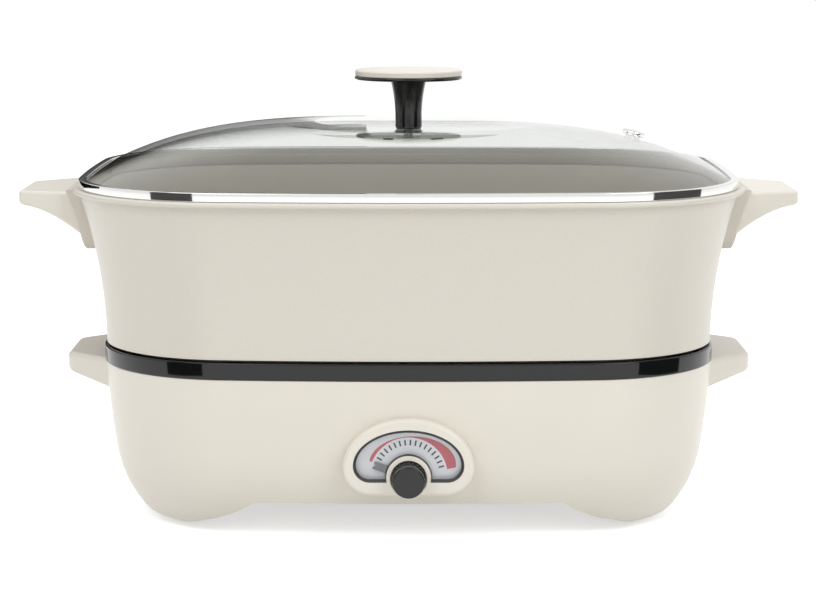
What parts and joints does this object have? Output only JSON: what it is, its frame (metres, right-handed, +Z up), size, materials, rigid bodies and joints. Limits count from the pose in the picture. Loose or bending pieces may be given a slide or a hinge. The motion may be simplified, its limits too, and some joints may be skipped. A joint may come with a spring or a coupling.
{
  "type": "electric hot pot",
  "caption": "Countertop electric hot pot: heating base with a dial, rectangular lift-off pot with end handles and a domed glass lid with a knob.",
  "frame": {"origin": "on the surface that the feet stand on, under the middle of the base", "axes": "+X to the right along the longer side, -Y towards the user and the dial, +Z up"},
  "size_m": [0.4246, 0.2848, 0.2366],
  "materials": {
    "base_shell": "satin",
    "dial_bezel": "satin",
    "trim_ring": "gloss",
    "bottom_cover": "matte",
    "steel": "satin",
    "rubber": "matte",
    "pan_steel": "satin",
    "cast_plate": "satin",
    "element_sheath": "matte",
    "dial_frame": "gloss",
    "clear_plastic": "gloss",
    "dial_plate": "satin",
    "pointer": "satin",
    "knob_black": "satin",
    "phenolic": "matte",
    "phenolic_white": "matte",
    "brass": "satin",
    "copper": "satin",
    "inlet_black": "matte",
    "lead_sleeve": "matte",
    "pot_enamel": "enamelled, satin",
    "grip_cream": "satin",
    "pad_cream": "satin",
    "lid_rim": "polished",
    "lid_glass": "gloss",
    "vent_chrome": "polished",
    "stem_black": "gloss"
  },
  "bodies": {
    "base": {"base_handle_left": "base_shell", "base_handle_right": "base_shell", "base_handle_screws": "steel", "base_shell": "base_shell", "base_trim_ring": "trim_ring", "bottom_cover": "bottom_cover", "bottom_cover_screws": "steel", "bulb_clip": "pan_steel", "dial_bezel": "dial_bezel", "dial_frame": "dial_frame", "dial_lens": "clear_plastic", "dial_plate": "dial_plate", "element_clamps": "pan_steel", "foot_front_left": "rubber", "foot_front_right": "rubber", "foot_rear_left": "rubber", "foot_rear_right": "rubber", "fuse_clip": "pan_steel", "heating_element": "element_sheath", "heating_plate": "cast_plate", "inlet_pins": "brass", "inlet_screws": "steel", "inlet_socket": "inlet_black", "internal_leads": "lead_sleeve", "plate_posts": "steel", "reflector_pan": "pan_steel", "sensor_housing": "pan_steel", "sensor_spring": "steel", "terminal_block": "phenolic_white", "thermal_fuse": "phenolic_white", "thermostat_body": "phenolic", "thermostat_bracket": "pan_steel", "thermostat_bulb": "copper", "thermostat_nut": "brass"},
    "lid": {"lid_glass": "lid_glass", "lid_rim": "lid_rim", "lid_knob_cap": "grip_cream", "lid_knob_plate": "stem_black", "lid_knob_stem": "stem_black", "lid_knob_gasket": "rubber", "lid_knob_washer": "steel", "lid_knob_screw": "steel", "steam_vent_eyelet": "vent_chrome"},
    "pot": {"pot_body": "pot_enamel", "pot_handle_left": "grip_cream", "pot_handle_right": "grip_cream", "pot_handle_pad_left": "pad_cream", "pot_handle_pad_right": "pad_cream", "pot_handle_screws": "steel"},
    "knob": {"control_knob": "knob_black", "knob_spindle": "steel", "dial_pointer": "pointer"},
    "sensor": {"sensor_cap": "cast_plate"}
  },
  "joints": [
    {"name": "pot_lift", "type": "slide", "parent": "base", "child": "pot", "axis": [0, 0, 1], "range_m": [0, 0.12]},
    {"name": "lid_lift", "type": "slide", "parent": "pot", "child": "lid", "axis": [0, 0, 1], "range_m": [0, 0.12]},
    {"name": "knob_turn", "type": "hinge", "parent": "base", "child": "knob", "pos_m": [0, -0.136, 0.036], "axis": [0, 1, 0], "range_deg": [0, 146]},
    {"name": "sensor_press", "type": "slide", "parent": "base", "child": "sensor", "axis": [0, 0, 1], "range_m": [-0.0025, 0], "stiffness_N_per_m": 400, "springref_m": 0.003, "deforming": ["sensor_spring"]}
  ]
}
